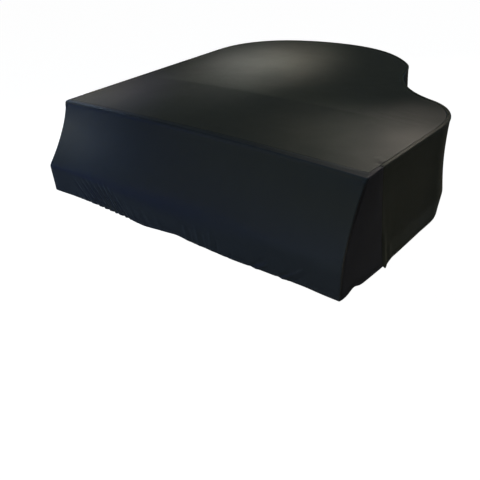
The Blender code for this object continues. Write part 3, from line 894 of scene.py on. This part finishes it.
class Nodes:
    """Short ways to add and join shader nodes."""

    def __init__(self, tree):
        self.tree = tree

    def add(self, kind, inputs, **settings):
        """A node. inputs are sockets or values, each under the name or number of the input it goes to."""
        node = self.tree.nodes.new(kind)
        for name, value in settings.items():
            setattr(node, name, value)
        for name, value in inputs.items():
            self.feed(node.inputs[name], value)
        return node

    def feed(self, socket, value):
        if isinstance(value, bpy.types.NodeSocket):
            self.tree.links.new(value, socket)
        else:
            socket.default_value = value

    def maths(self, operation, *values):
        return self.add("ShaderNodeMath", dict(enumerate(values)), operation=operation).outputs[0]

    def ramp(self, value, low, high, floor=0.0, ceiling=1.0):
        inputs = dict(enumerate((value, low, high, floor, ceiling)))
        return self.add("ShaderNodeMapRange", inputs, interpolation_type="SMOOTHSTEP").outputs[0]

    def noise(self, place, scale, detail, roughness):
        inputs = {"Vector": place, "Scale": scale, "Detail": detail, "Roughness": roughness}
        return self.add("ShaderNodeTexNoise", inputs).outputs[0]

    def bump(self, height, strength, distance):
        inputs = {"Height": height, "Strength": strength, "Distance": distance}
        return self.add("ShaderNodeBump", inputs)

    def mix(self, share, first, second):
        return self.add("ShaderNodeMix", {0: share, 6: first, 7: second}, data_type="RGBA").outputs[2]


def new_group(name, inputs, outputs):
    """An empty shader node group, its node helper and its input and output nodes."""
    group = bpy.data.node_groups.new(name, "ShaderNodeTree")
    for label, kind, default in inputs:
        socket = group.interface.new_socket(name=label, in_out="INPUT", socket_type=kind)
        if default is not None:
            socket.default_value = default
    for label, kind in outputs:
        group.interface.new_socket(name=label, in_out="OUTPUT", socket_type=kind)
    nodes = Nodes(group)
    return group, nodes, group.nodes.new("NodeGroupInput"), group.nodes.new("NodeGroupOutput")


def knit_group():
    """Fine jersey knit: upright ribs of small V-shaped loops, with painted shade in the hollows between them.
    """
    group, nodes, given, made = new_group(
        "Jersey Knit",
        [("Cloth", "NodeSocketVector", None), ("Wale", "NodeSocketFloat", 0.0009)],
        [("Height", "NodeSocketFloat"), ("Shade", "NodeSocketFloat")],
    )
    parts = nodes.add("ShaderNodeSeparateXYZ", {0: given.outputs["Cloth"]})
    across = nodes.maths("DIVIDE", parts.outputs[0], given.outputs["Wale"])
    down = nodes.maths("DIVIDE", parts.outputs[1], nodes.maths("MULTIPLY", given.outputs["Wale"], 0.8))
    within = nodes.maths("ABSOLUTE", nodes.maths("SUBTRACT", nodes.maths("FRACT", across), 0.5))
    leg = nodes.maths("ADD", down, nodes.maths("MULTIPLY", within, 1.6))
    loops = nodes.maths("SINE", nodes.maths("MULTIPLY", leg, 2 * math.pi))
    rib = nodes.maths("SINE", nodes.maths("MULTIPLY", nodes.maths("FRACT", across), math.pi))
    height = nodes.maths("ADD", nodes.maths("MULTIPLY", loops, 0.35), rib)
    nodes.feed(made.inputs["Height"], height)
    nodes.feed(made.inputs["Shade"], nodes.ramp(height, -0.2, 1.2))
    return group


def lint_group():
    """Scattered specks of lint and a faint film of dust."""
    group, nodes, given, made = new_group(
        "Lint",
        [("Object", "NodeSocketVector", None), ("Amount", "NodeSocketFloat", 0.5)],
        [("Specks", "NodeSocketFloat"), ("Film", "NodeSocketFloat")],
    )
    place, amount = given.outputs["Object"], given.outputs["Amount"]
    cells = nodes.add(
        "ShaderNodeTexVoronoi", {"Vector": place, "Scale": 70.0, "Randomness": 1.0}, feature="F1")
    colour = nodes.add("ShaderNodeSeparateColor", {0: cells.outputs["Color"]})
    chance = nodes.ramp(colour.outputs[0], 0.80, 0.95)
    dots = nodes.ramp(cells.outputs["Distance"], 0.05, 0.10, 1.0, 0.0)
    specks = nodes.maths("MULTIPLY", nodes.maths("MULTIPLY", chance, dots), amount)
    cloud = nodes.noise(place, 4.5, 6.0, 0.62)
    nodes.feed(made.inputs["Specks"], specks)
    nodes.feed(made.inputs["Film"], nodes.maths("MULTIPLY", nodes.ramp(cloud, 0.42, 0.75), amount))
    return group


def stretch_group():
    """Faint draw lines where the cloth is pulled across, and slow changes of its face."""
    group, nodes, given, made = new_group(
        "Stretch",
        [("Cloth", "NodeSocketVector", None)],
        [("Lines", "NodeSocketFloat"), ("Patches", "NodeSocketFloat")],
    )
    drawn = nodes.add("ShaderNodeMapping", {0: given.outputs["Cloth"], "Scale": (6.0, 70.0, 1.0)})
    lines = nodes.noise(drawn.outputs[0], 1.0, 4.0, 0.6)
    patches = nodes.noise(given.outputs["Cloth"], 7.0, 3.0, 0.5)
    nodes.feed(made.inputs["Lines"], nodes.ramp(lines, 0.3, 0.7))
    nodes.feed(made.inputs["Patches"], nodes.ramp(patches, 0.3, 0.7))
    return group


def new_material(name):
    """A material, its node helper and its shader."""
    material = bpy.data.materials.new(name)
    material.use_nodes = True
    return material, Nodes(material.node_tree), material.node_tree.nodes["Principled BSDF"]


def cloth_material(name, colour, look, amount):
    """Black stretch jersey with its knit, draw lines and lint. Its knit hollows are darkened by painted
    shade, and its seams are lightened by wear and a painted highlight.
    """
    material, nodes, shader = new_material(name)
    cloth = nodes.add("ShaderNodeUVMap", {}, uv_map="Cloth").outputs[0]
    place = nodes.add("ShaderNodeTexCoord", {}).outputs["Object"]
    seam = nodes.add("ShaderNodeAttribute", {}, attribute_name="seam").outputs["Fac"]

    def grouped(group, make, inputs):
        tree = bpy.data.node_groups.get(group) or make()
        return nodes.add("ShaderNodeGroup", inputs, node_tree=tree).outputs

    knit = grouped("Jersey Knit", knit_group, {"Cloth": cloth, "Wale": look.wale})
    lint = grouped("Lint", lint_group, {"Object": place, "Amount": amount})
    stretch = grouped("Stretch", stretch_group, {"Cloth": cloth})

    base = (*colour, 1)
    deep = (*(part * 0.55 for part in colour), 1)
    wear_and_sheen = (*(part * 1.9 + 0.002 for part in colour), 1)
    dust = (*look.lint_colour, 1)
    # Painted shade: the cloth is darkened in the knit's hollows, between its loops and ribs.
    paint = nodes.mix(nodes.maths("MULTIPLY", knit["Shade"], 0.8), deep, base)
    # Patches lighten the cloth at random. Along a seam the lighter colour is partly wear and partly a painted
    # highlight on the rolled edge.
    for mask, share, over in (
        (stretch["Patches"], 0.10, wear_and_sheen),
        (seam, 0.35, wear_and_sheen),
        (lint["Film"], 0.05, dust),
        (lint["Specks"], 0.55, dust),
    ):
        paint = nodes.mix(nodes.maths("MULTIPLY", mask, share), paint, over)
    nodes.feed(shader.inputs["Base Color"], paint)

    rough = look.roughness - 0.02
    for mask, change in ((stretch["Lines"], 0.04), (lint["Film"], 0.10), (seam, -0.06)):
        rough = nodes.maths("MULTIPLY_ADD", mask, change, rough)
    nodes.feed(shader.inputs["Roughness"], rough)

    bump = nodes.bump(knit["Height"], 0.35, 0.0002)
    drawn = nodes.bump(stretch["Lines"], 0.08, 0.0004)
    nodes.feed(drawn.inputs["Normal"], bump.outputs[0])
    nodes.feed(shader.inputs["Normal"], drawn.outputs[0])
    # Painted light: gloss and sheen take each panel's tint, which copies the colour of the light falling on
    # that face.
    painted_light_tint = (*(lerp(1, part / max(colour), 0.6) for part in colour), 1)
    for name, value in (
        ("Specular IOR Level", 0.45),
        ("Specular Tint", painted_light_tint),
        ("Sheen Weight", look.sheen),
        ("Sheen Roughness", 0.45),
        ("Sheen Tint", painted_light_tint),
    ):
        shader.inputs[name].default_value = value
    return material


def thread_material(look):
    """Twisted black polyester thread, a little glossier than the cloth."""
    material, nodes, shader = new_material("Sewing Thread")
    place = nodes.add("ShaderNodeTexCoord", {}).outputs["Object"]
    twist = nodes.add(
        "ShaderNodeTexWave", {"Vector": place, "Scale": 900.0, "Distortion": 1.0},
        bands_direction="DIAGONAL")
    patch = nodes.noise(place, 60.0, 2.0, 0.5)
    dark, light = ((*(part * share for part in look.thread_colour), 1) for share in (0.7, 1.5))
    nodes.feed(shader.inputs["Base Color"], nodes.mix(patch, dark, light))
    nodes.feed(shader.inputs["Roughness"], nodes.maths("MULTIPLY_ADD", patch, 0.2, 0.35))
    nodes.feed(shader.inputs["Normal"], nodes.bump(twist.outputs[1], 0.4, 0.0001).outputs[0])
    return material


# Operators


class COVER_OT_top_panel(Operator):
    """Make the harp-shaped top panel with its crown, hinge ridge and rolled seam"""

    bl_idname = "cover.top_panel"
    bl_label = "Top Panel"

    def execute(self, context):
        cover, look = PianoCover(context.scene), context.scene.cover_cloth
        seam = np.array([tuple(point) for point in cover.lid_seam()])
        travel = unit(np.roll(seam[:, :2], -1, axis=0) - np.roll(seam[:, :2], 1, axis=0))
        inward = np.stack([-travel[:, 1], travel[:, 0]], axis=-1)
        loops = [seam[:, :2] + inward * (cover.gap + part * cover.seam_roll) for part in ROLL_STEPS]
        rim = loops[-1]
        spots = self.middle(cover, rim, inward)

        count = len(rim)
        loop = [(step, (step + 1) % count) for step in range(count)]
        flat = [Vector(spot) for spot in np.concatenate([rim, spots]).tolist()]
        corners, _, triangles, *_ = delaunay_2d_cdt(flat, loop, [], 1, 1e-7)
        plan = np.concatenate([*loops[:-1], np.array([tuple(corner) for corner in corners])])
        away, nearest = self.clearance(plan, seam[:, :2])
        away = np.maximum(away - cover.gap, 0.0)
        lift = [z - cover.on_lid(x, y + cover.mount_depth).z for x, y, z in seam]
        points = []
        for (x, y), distance, number in zip(plan, away, nearest):
            back = y + cover.mount_depth
            point = cover.on_lid(x, back)
            relief = cover.slackness(point) + creases(TOP_CREASES, x, back)
            relief += cover.puckers(number * SEAM_STEP, distance)
            relief *= min(distance / RELIEF_FADE, 1.0)
            point.z += lift[number] * math.exp(-distance / LIFT_FADE) + relief - cover.rolled(distance)
            points.append(tuple(point))
        turned = np.array(points[:count]) - np.array([0, 0, cover.allowance])
        points = np.concatenate([turned, points])
        away = np.concatenate([away[:count], away])

        shift = len(loops) * count
        ring = np.arange(shift + count).reshape(-1, count)
        after = np.roll(ring, -1, axis=1)
        faces = np.stack([ring[:-1], after[:-1], after[1:], ring[1:]], axis=-1).reshape(-1, 4).tolist()
        faces += [[corner + shift for corner in face] for face in triangles]
        material = cloth_material("Top Cloth", look.top_colour, look, 0.9)
        panel = add_panel("top_cloth", points, faces, points[:, :2], away, cover.cloth, material)
        finish_panel(panel, "top_panel")
        return {"FINISHED"}

    def middle(self, cover, rim, inward):
        """Spots of an even triangular pattern inside the rim, and two closer rows along it."""
        spots = [rim + inward * away for away, _ in RIM_ROWS]
        clear = [np.full(len(rim), least) for _, least in RIM_ROWS]
        across, down = TOP_SPACING
        for row in range(int(cover.lid_depth / down) + 1):
            x = np.arange(-cover.half, cover.half, across) + (row % 2) * across / 2
            spots.append(np.stack([x, np.full_like(x, row * down - cover.mount_depth)], axis=-1))
            clear.append(np.full(len(x), MIDDLE_CLEAR))
        spots = np.concatenate(spots)
        away, _ = self.clearance(spots, rim)
        return spots[(away > np.concatenate(clear)) & self.inside(spots, rim)]

    def clearance(self, spots, line):
        """Distance of each spot to a closed line, and the number of the nearest corner before it."""
        start, step = line, np.roll(line, -1, axis=0) - line
        size = np.sum(step * step, axis=1)
        away, nearest = [], []
        for part in np.array_split(spots, max(len(spots) // 2000, 1)):
            offset = part[:, None] - start[None]
            along = np.clip(np.sum(offset * step[None], axis=2) / size[None], 0, 1)
            distance = np.linalg.norm(offset - along[..., None] * step[None], axis=2)
            away.append(distance.min(axis=1))
            nearest.append(distance.argmin(axis=1))
        return np.concatenate(away), np.concatenate(nearest)

    def inside(self, spots, line):
        """Whether each spot is inside a closed line."""
        crossings = np.zeros(len(spots), dtype=int)
        for (x0, y0), (x1, y1) in zip(line, np.roll(line, -1, axis=0)):
            crosses = (y0 > spots[:, 1]) != (y1 > spots[:, 1])
            at = x0 + (spots[:, 1] - y0) * (x1 - x0) / (y1 - y0 if y1 != y0 else 1e-12)
            crossings += crosses & (spots[:, 0] < at)
        return crossings % 2 == 1


class COVER_OT_front_panel(Operator):
    """Make the front panel, from the seam on the lid over the key slip to its hem"""

    bl_idname = "cover.front_panel"
    bl_label = "Front Panel"

    def execute(self, context):
        cover, look = PianoCover(context.scene), context.scene.cover_cloth
        material = cloth_material("Front Cloth", look.front_colour, look, 0.5)
        hang_panel(cover, "front_cloth", "front_panel", cover.front_cloth(), material, look)
        return {"FINISHED"}


class COVER_OT_cheek_panels(Operator):
    """Make the two narrow cheek panels beside the keys"""

    bl_idname = "cover.cheek_panels"
    bl_label = "Cheek Panels"

    def execute(self, context):
        cover, look = PianoCover(context.scene), context.scene.cover_cloth
        material = cloth_material("Cheek Cloth", look.cheek_colour, look, 0.5)
        for side, sign in (("right", 1), ("left", -1)):
            hang_panel(cover, f"cheek_cloth_{side}", f"cheek_panel_{side}", cover.cheek_cloth(sign),
                       material, look)
        return {"FINISHED"}


class COVER_OT_side_panel(Operator):
    """Make the long strip round the shoulder, the waist, the tail and the spine"""

    bl_idname = "cover.side_panel"
    bl_label = "Side Panel"

    def execute(self, context):
        cover, look = PianoCover(context.scene), context.scene.cover_cloth
        material = cloth_material("Side Cloth", look.side_colour, look, 0.5)
        hang_panel(cover, "side_cloth", "side_panel", cover.side_cloth(), material, look)
        return {"FINISHED"}


class COVER_OT_stage(Operator):
    """Set the pale floor, the soft light and the camera"""

    bl_idname = "cover.stage"
    bl_label = "Stage"

    def execute(self, context):
        scene = context.scene
        stage = scene.cover_stage
        bpy.ops.object.select_all(action="DESELECT")
        bpy.ops.mesh.primitive_plane_add(size=60, location=(0, 0, -stage.floor_drop))
        floor = context.object
        floor.name = "floor"
        material, nodes, shader = new_material("Pale Floor")
        shader.inputs["Base Color"].default_value = (*stage.floor_colour, 1)
        shader.inputs["Roughness"].default_value = 0.9
        shader.inputs["Specular IOR Level"].default_value = 0.1
        shader.inputs["Emission Color"].default_value = (1, 1, 1, 1)
        seen = nodes.add("ShaderNodeLightPath", {}).outputs["Is Camera Ray"]
        nodes.feed(shader.inputs["Emission Strength"], nodes.maths("MULTIPLY", seen, stage.floor_glow))
        floor.data.materials.append(material)

        world = bpy.data.worlds.new("Studio")
        world.use_nodes = True
        nodes = Nodes(world.node_tree)
        background = world.node_tree.nodes["Background"]
        background.inputs[0].default_value = (1, 1, 1, 1)
        seen = nodes.add("ShaderNodeLightPath", {}).outputs["Is Camera Ray"]
        nodes.feed(background.inputs[1], nodes.maths("MULTIPLY_ADD", seen, 1 - stage.sky, stage.sky))
        scene.world = world

        for lamp in SOFT_BOXES:
            self.lamp(lamp, "AREA", stage.light)
        for lamp in SPOTS:
            self.lamp(lamp, "SPOT", stage.light)
        self.camera(scene)
        scene.view_settings.view_transform = "Standard"
        return {"FINISHED"}

    def lamp(self, lamp, kind, share):
        """A soft lamp, turned to what it aims at. share dims or brightens it."""
        light = bpy.data.lights.new(lamp.name, kind)
        light.energy = lamp.power * share
        light.color = lamp.tint
        if kind == "AREA":
            light.shape = "SQUARE"
            light.size = lamp.size
        else:
            light.spot_size = math.radians(lamp.size)
            light.spot_blend = 1.0
            light.shadow_soft_size = 0.15
        stand = bpy.data.objects.new(lamp.name, light)
        bpy.context.scene.collection.objects.link(stand)
        stand.location = lamp.place
        stand.rotation_euler = (Vector(lamp.aim) - Vector(lamp.place)).to_track_quat("-Z", "Y").to_euler()
        stand.visible_camera = False

    def camera(self, scene):
        """A camera at the treble side of the keys, above the lid."""
        lens = bpy.data.cameras.new("camera")
        lens.lens = CAMERA_LENS
        lens.sensor_width = 36
        lens.clip_end = 200
        camera = bpy.data.objects.new("camera", lens)
        scene.collection.objects.link(camera)
        camera.matrix_world = Matrix.Translation(CAMERA_PLACE)
        for angle, axis in CAMERA_TURNS:
            camera.matrix_world @= Matrix.Rotation(math.radians(angle), 4, axis)
        scene.camera = camera


class COVER_PT_sidebar(Panel):
    """Sizes, colours and pieces of the piano cover"""

    bl_idname = "COVER_PT_sidebar"
    bl_label = "Grand Piano Cover"
    bl_space_type = "VIEW_3D"
    bl_region_type = "UI"
    bl_category = "Piano Cover"

    def draw(self, context):
        for title, name, group in GROUPS:
            box = self.layout.box()
            box.label(text=title)
            for entry in group.__annotations__:
                box.prop(getattr(context.scene, name), entry)
        for operator in OPERATORS:
            self.layout.operator(operator.bl_idname)


GROUPS = (
    ("Piano", "cover_sizes", CoverSizes),
    ("Sewing", "cover_sewing", CoverSewing),
    ("Folds", "cover_folds", CoverFolds),
    ("Cloth", "cover_cloth", CoverCloth),
    ("Stage", "cover_stage", CoverStage),
)
OPERATORS = (
    COVER_OT_top_panel,
    COVER_OT_front_panel,
    COVER_OT_cheek_panels,
    COVER_OT_side_panel,
    COVER_OT_stage,
)


def register():
    for _, name, group in GROUPS:
        bpy.utils.register_class(group)
        setattr(bpy.types.Scene, name, PointerProperty(type=group))
    for operator in OPERATORS:
        bpy.utils.register_class(operator)
    bpy.utils.register_class(COVER_PT_sidebar)


def unregister():
    bpy.utils.unregister_class(COVER_PT_sidebar)
    for operator in reversed(OPERATORS):
        bpy.utils.unregister_class(operator)
    for _, name, group in reversed(GROUPS):
        delattr(bpy.types.Scene, name)
        bpy.utils.unregister_class(group)


def main():
    register()
    bpy.ops.cover.top_panel()
    bpy.ops.cover.front_panel()
    bpy.ops.cover.cheek_panels()
    bpy.ops.cover.side_panel()
    bpy.ops.cover.stage()


if __name__ == "__main__":
    main()
